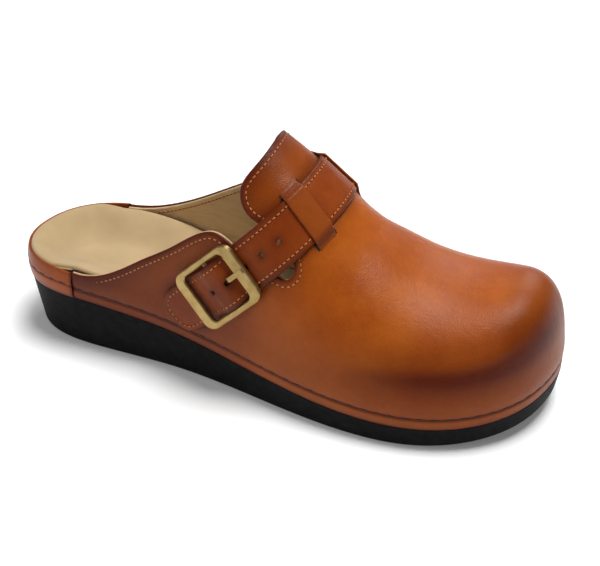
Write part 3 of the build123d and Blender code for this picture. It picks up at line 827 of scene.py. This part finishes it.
def girth(across):
    """The skin in the strap's plane: rows of y and along, from low on the outer side to low on the inner."""
    turns = np.radians(np.arange(-62, 248, 1.0))
    ray_y, ray_along = -np.cos(turns), np.sin(turns)
    inside, beyond = np.zeros(len(turns)), np.full(len(turns), 140.0)
    for _ in range(26):
        middle = (inside + beyond) / 2
        at = strap_place(STRAP_CENTRE[0] + ray_y * middle, STRAP_CENTRE[1] + ray_along * middle, across)
        within = outside(at) < 0
        inside, beyond = np.where(within, middle, inside), np.where(within, beyond, middle)
    return np.column_stack([STRAP_CENTRE[0] + ray_y * inside, STRAP_CENTRE[1] + ray_along * inside])


def over_instep(rows, start, end, count):
    """A grid on the skin: rows across the strap, columns from start to end, each (along, side).

    Returns places, ways out, the "along" each column would have on the outer side, and the distance run
    from the buckle.
    """
    grids = []
    for across in rows:
        path = girth(across)
        top = path[:, 1].argmax()
        order = np.where(np.arange(len(path)) < top, path[:, 1], 2 * path[top, 1] - path[:, 1])
        run = run_along(path)
        ends = [np.interp(p if side < 0 else 2 * path[top, 1] - p, order, run) for p, side in (start, end)]
        at = np.linspace(*ends, count)
        tangent = np.gradient(path, axis=0)
        tangent /= np.hypot(*tangent.T)[:, None]
        columns = [np.interp(at, run, c) for c in (*path.T, -tangent[:, 1], tangent[:, 0], order)]
        place, way = strap_place(columns[0], columns[1], across), strap_place(columns[2], columns[3], 0)
        from_buckle = at - np.interp(BUCKLE_ALONG, order, run)
        grids.append(np.column_stack([place, way, columns[4], from_buckle]))
    grids = np.array(grids)
    return grids[..., :3], grids[..., 3:6], grids[..., 6], grids[..., 7]


def strip(rows, start, end, count, lift, thickness, keep=None, crown=0.3, marks=None):
    """A leather strip over the instep. lift, keep and marks are functions of (order, run, across)."""
    place, way, order, run = over_instep(rows, start, end, count)
    across = np.broadcast_to(np.asarray(rows)[:, None], order.shape)
    half_width = (rows[-1] - rows[0]) / 2
    crowned = -crown * np.abs((across - rows[0] - half_width) / half_width) ** 5
    points = (place + way * (lift(order, run, across) + thickness + crowned)[..., None]).reshape(-1, 3)
    extra = {k: f(order, run, across).ravel() for k, f in (marks or {}).items()}
    faces = [tuple(f) for f in grid_faces(len(rows), count)[:, ::-1]]
    if keep:
        points, faces, extra = clip(points, faces, keep(order, run, across).ravel(), extra)
    return shell(points, faces, thickness, extra)


# The strap's height over the skin, with the corners of its table rounded by a moving mean.
SMOOTHING = 8
smooth_along = np.linspace(-25, 120, 600)
padded = np.pad(table(STRAP_LIFT, smooth_along), SMOOTHING, mode="edge")
smooth_lift = np.convolve(padded, np.ones(2 * SMOOTHING + 1) / (2 * SMOOTHING + 1), "valid")


def strap_lift(order, run, across):
    """Height of the strap's underside over the skin."""
    return np.interp(order, smooth_along, smooth_lift)


def strap_keep(order, run, across):
    """Positive in the strap: outside its holes and inside its rounded tail."""
    c = across - STRAP_ACROSS
    keep = np.full(run.shape, 5.0)
    for step in HOLE_STEPS:
        keep = np.minimum(keep, np.hypot(run - PRONG_HOLE - step * HOLE_PITCH, c) - HOLE_RADIUS)
    slot = np.hypot(np.maximum(np.abs(run - PRONG_HOLE) - PRONG_SLOT_HALF, 0), c) - PRONG_SLOT_RADIUS
    corner = np.maximum(np.abs(c) - (STRAP_WIDTH / 2 - TAIL_ROUND), 0)
    into_tail = np.maximum(TAIL_END + TAIL_ROUND - order, 0)
    return np.minimum(np.minimum(keep, slot), TAIL_ROUND + 0.01 - np.hypot(into_tail, corner))


def strap_wear(order, run, across):
    """Burnish on the strap: dark edges, and dark round the holes, the tail and the buckle."""
    c = across - STRAP_ACROSS
    holes = sum(near(np.hypot(run - PRONG_HOLE - step * HOLE_PITCH, c), 2.6) for step in (0, *HOLE_STEPS))
    tail, buckle = near(order - TAIL_END, 3), near(run - 6, 16)
    edge = near(beside_strap(across), 1.2)
    return np.clip(0.6 * edge + 0.6 * holes + 0.4 * tail + 0.25 * buckle - 0.05, 0, 1)


STRAP_COLUMNS = 420
strap_rows = np.linspace(STRAP_ACROSS - STRAP_WIDTH / 2, STRAP_ACROSS + STRAP_WIDTH / 2, 44)
strap_ends = (TAIL_END, -1), (INNER_END, 1)
skin, skin_faces, skin_marks = strip(
    strap_rows, *strap_ends, STRAP_COLUMNS, strap_lift, STRAP_THICKNESS, strap_keep,
    marks={"burnish": strap_wear},
)
piece(
    "strap", skin, skin_faces, STRAP_LEATHER, slot="strap_leather", marks=skin_marks,
    replaces=["instep_strap", "strap_lining"],
)

# The strap's stitches run along both edges and round the tail, and across its inner end.
place, way, order, run = over_instep(strap_rows, *strap_ends, STRAP_COLUMNS)
strap_top = place + way * (strap_lift(order, run, 0) + STRAP_THICKNESS)[..., None]
flat_top, flat_way = strap_top.reshape(-1, 3), way.reshape(-1, 3)


def strap_out(p):
    """Ways out of the strap, from its nearest grid points."""
    return np.array([flat_way[np.argmin(((flat_top - q) ** 2).sum(1))] for q in p])


def on_strap(path):
    """Points of the strap's top for a path of (distance run from the buckle, place across)."""
    points = []
    for from_buckle, across in path:
        row, share = divmod((across + STRAP_WIDTH / 2) / (strap_rows[1] - strap_rows[0]), 1)
        row = min(int(row), len(strap_rows) - 2)
        low, high = ([np.interp(from_buckle, run[i], c) for c in strap_top[i].T] for i in (row, row + 1))
        points.append(np.array(low) * (1 - share) + np.array(high) * share)
    return np.array(points)


tail_run, inner_run = run[len(strap_rows) // 2, [0, -1]]
half = STRAP_WIDTH / 2 - STRAP_STITCH_IN
turn_radius, turn_from = TAIL_ROUND - STRAP_STITCH_IN, tail_run + TAIL_ROUND
edge_path = [(inner_run - 3, half), *((r, half) for r in np.arange(inner_run - 5, turn_from, -1.0))]
for angle in np.linspace(0, math.pi / 2, 12):
    across = half - turn_radius + turn_radius * math.cos(angle)
    edge_path.append((turn_from - turn_radius * math.sin(angle), across))
edge_path += [(r, -c) for r, c in edge_path[::-1]]
inner_path = [(inner_run - 2.5, c) for c in np.linspace(-half, half, 20)]
parts = stitches(on_strap(edge_path), strap_out, **FINE_STITCH)
parts += stitches(on_strap(inner_path), strap_out, **FINE_STITCH)
thread_piece("strap_stitches", parts, TAN_THREAD, "strap_leather")


# ---- bridges that hold the strap, one each side, and the slits beside them ----
bridge_rows = np.linspace(BRIDGE_FROM - BRIDGE_LAND, BRIDGE_TO + BRIDGE_LAND, 90)


def bridge_lift(order, run, across):
    """High over the strap, and down to the swollen upper at the ends of the slits."""
    beyond = beside_strap(across)
    room = np.where(across < STRAP_ACROSS, beside_strap(BRIDGE_FROM), beside_strap(BRIDGE_TO))
    share = eased(np.clip((beyond + 1) / (room + 1), 0, 1))
    sunk = np.maximum(beyond - room, 0) * 0.35
    return BRIDGE_LIFT * (1 - share) + (swell_over(across) - BRIDGE_PLY + 0.12 - sunk) * share


def slit_lift(order, run, across):
    """Just under the swollen upper."""
    return swell_over(across) * 0.9 - 0.22


def slit_keep(order, run, across):
    """Keeps a slit between its ends."""
    return np.minimum(across - BRIDGE_FROM, BRIDGE_TO - across) + 0.01


def bridge_wear_and_shade(order, run, across):
    """Burnish on a bridge, with painted shade where it bends down beside the strap."""
    # Painted shade: darker where the bridge bends down beside the strap.
    return 0.42 + 0.3 * near(beside_strap(across) - 1.5, 2.5)


bridge_parts, worn_and_shaded, slit_parts, cut_edge_parts = [], [], [], []
for side in (-1, 1):
    low, high = [(BRIDGE_LOW, side), (BRIDGE_HIGH, side)][::-side]
    skin, skin_faces, skin_marks = strip(
        bridge_rows, low, high, 16, bridge_lift, BRIDGE_PLY, crown=0.0, marks={"burnish": bridge_wear_and_shade},
    )
    bridge_parts.append((skin, skin_faces))
    worn_and_shaded.append(skin_marks["burnish"])
    place, way, order, _ = over_instep(bridge_rows, low, high, 3)
    lift = bridge_lift(order, 0, bridge_rows[:, None]) + BRIDGE_PLY / 2
    cut_edge = (place + way * lift[..., None])[:, 0 if side < 0 else -1]
    cut_edge = cut_edge[(bridge_rows > BRIDGE_FROM + 1) & (bridge_rows < BRIDGE_TO - 1)]
    cut_edge_parts.append(tube(resample(cut_edge, 0.5), 0.3))
    for edge, gap in SLIT_GAPS:
        low, high = [(place_along, side) for place_along in sorted((edge, edge + gap))][::-side]
        slit_parts.append(strip(bridge_rows, low, high, 5, slit_lift, 0.3, slit_keep, crown=0.0)[:2])
piece("strap_bridges", *gather(bridge_parts), COGNAC, marks={"burnish": np.concatenate(worn_and_shaded)})
# Dark strips in the slits beside the bridges: painted shade under the bridges.
piece("slits", *gather(slit_parts), GAP_SHADE)
piece("slit_cut_edges", *gather(cut_edge_parts), RAW_EDGE)


# ---- footbed ----
def footbed_inset(x):
    """How far in from the outline the suede ends."""
    return table(FOOTBED_INSET, x)


def ring_distance(p):
    """Distance of points (n, 2) from the sole's outline, worked out in batches to save memory."""
    batches = [np.sqrt(((q[:, None] - RING[None]) ** 2).sum(-1)).min(1) for q in np.array_split(p, 40)]
    return np.concatenate(batches)


def footbed_top(p):
    """Height of the dished footbed at points (n, 2), with a rim rolled over at the edge."""
    x, away = p[:, 0], ring_distance(p)
    fall = eased(np.clip((away - table(FOOTBED_CORE_INSET, x)) / CUP_SLOPE_WIDTH, 0, 1))
    into_roll = np.clip(1 - (away - footbed_inset(x)) / SUEDE_ROLL, 0, 1)
    roll = SUEDE_ROLL * (1 - np.sqrt(1 - into_roll**2))
    return sole_z(x) + table(RIM_HEIGHT, x) - table(CUP_DEPTH, x) * fall - roll


def crowded_ends(count):
    """Shares from 0 to 1, close together near both ends."""
    return (1 - np.cos(np.linspace(0, math.pi, count))) / 2


FOOTBED_ROWS, FOOTBED_COLUMNS, END_GAP = 260, 110, 0.02
outer, inner = sides(footbed_inset)
heel, toe = outer[0][0] + END_GAP, outer[-1][0] - END_GAP
stations = heel + (toe - heel) * crowded_ends(FOOTBED_ROWS)
low, high = (np.interp(stations, *line.T)[:, None] for line in (outer, inner))
wide = low + (high - low) * crowded_ends(FOOTBED_COLUMNS)
plan = np.stack([np.broadcast_to(stations[:, None], wide.shape), wide], -1).reshape(-1, 2)
points = np.column_stack([plan, footbed_top(plan)])
skin, skin_faces, _ = shell(points, grid_faces(FOOTBED_ROWS, FOOTBED_COLUMNS), SUEDE_THICKNESS)
piece("footbed_suede", skin, skin_faces, SUEDE, slot="suede", replaces=["footbed_cover"])


# ---- heel rand ----
def rand_end(line, side):
    """The index where a closed outline passes the band's end on one side."""
    return np.argmin(np.where(line[:, 1] * side > 0, np.abs(line[:, 0] - RAND_END), np.inf))


start = rand_end(RING, -1)
path, inwards = np.roll(RING, -start, 0), np.roll(RING_IN, -start, 0)
length_round = rand_end(path, 1) + 1
path, inwards = path[:length_round], inwards[:length_round]

# The band's section: how far out of the outline, and the share of its height. Its seam is half way up.
SEAM_ROW, ENDS_UNSTITCHED = 21, 3
rise = np.linspace(0, 1, 40)
outer_face = 0.15 + 0.95 * np.sin(math.pi * rise) ** 0.7 - 0.35 * near((rise - 0.52) * 14, 0.6)
turn = np.linspace(0, math.pi, 14)
profile = np.vstack([
    np.column_stack([outer_face, rise]),
    np.column_stack([-0.4 + 0.55 * np.cos(turn), 1 + 0.02 * np.sin(turn)])[1:],
    [(-0.95, 0.6), (-0.95, 0.3), (-0.95, 0.0)],
])
beyond, share = profile.T
heights = table(RIM_HEIGHT, path[:, 0]) - RAND_BELOW_RIM
rand = np.array([
    np.column_stack([x - ix * beyond, y - iy * beyond, sole_z(x) + RAND_OVER_SOLE + height * share])
    for (x, y), (ix, iy), height in zip(path, inwards, heights)
])
count = len(profile)
rand_faces = [tuple(f) for f in grid_faces(len(rand), count, wrap=True)[:, ::-1]]
rand_faces += [tuple(range(count)), tuple(reversed(range((len(rand) - 1) * count, len(rand) * count)))]
end_run = np.minimum(np.arange(len(rand)), np.arange(len(rand))[::-1])[:, None] * 0.6
section_wear = 0.6 * near(share, 0.12) + 0.35 * near(share - 0.52, 0.05) + 0.25 * near(share - 1, 0.1)
rand_wear = np.clip(section_wear + 0.9 * near(end_run, 1.4), 0, 1)
piece(
    "rand_band", rand.reshape(-1, 3), rand_faces, RAND_LEATHER, slot="rand_leather",
    marks={"burnish": rand_wear.ravel()}, replaces=["heel_rand"],
)


def rand_out(p):
    """Ways out of the band, level, from the nearest points of the outline."""
    nearest = [np.argmin(((path - q[:2]) ** 2).sum(1)) for q in p]
    return np.column_stack([-inwards[nearest], np.zeros(len(p))])


seam_line = rand[ENDS_UNSTITCHED:-ENDS_UNSTITCHED, SEAM_ROW]
parts = stitches(seam_line, rand_out, **COARSE_STITCH)
thread_piece("rand_stitches", parts, DARK_THREAD, "rand_leather")

# Dark discs at the stitches' ends: painted shade in the awl holes.
thread_piece("stitch_holes", stitch_holes, GAP_SHADE)
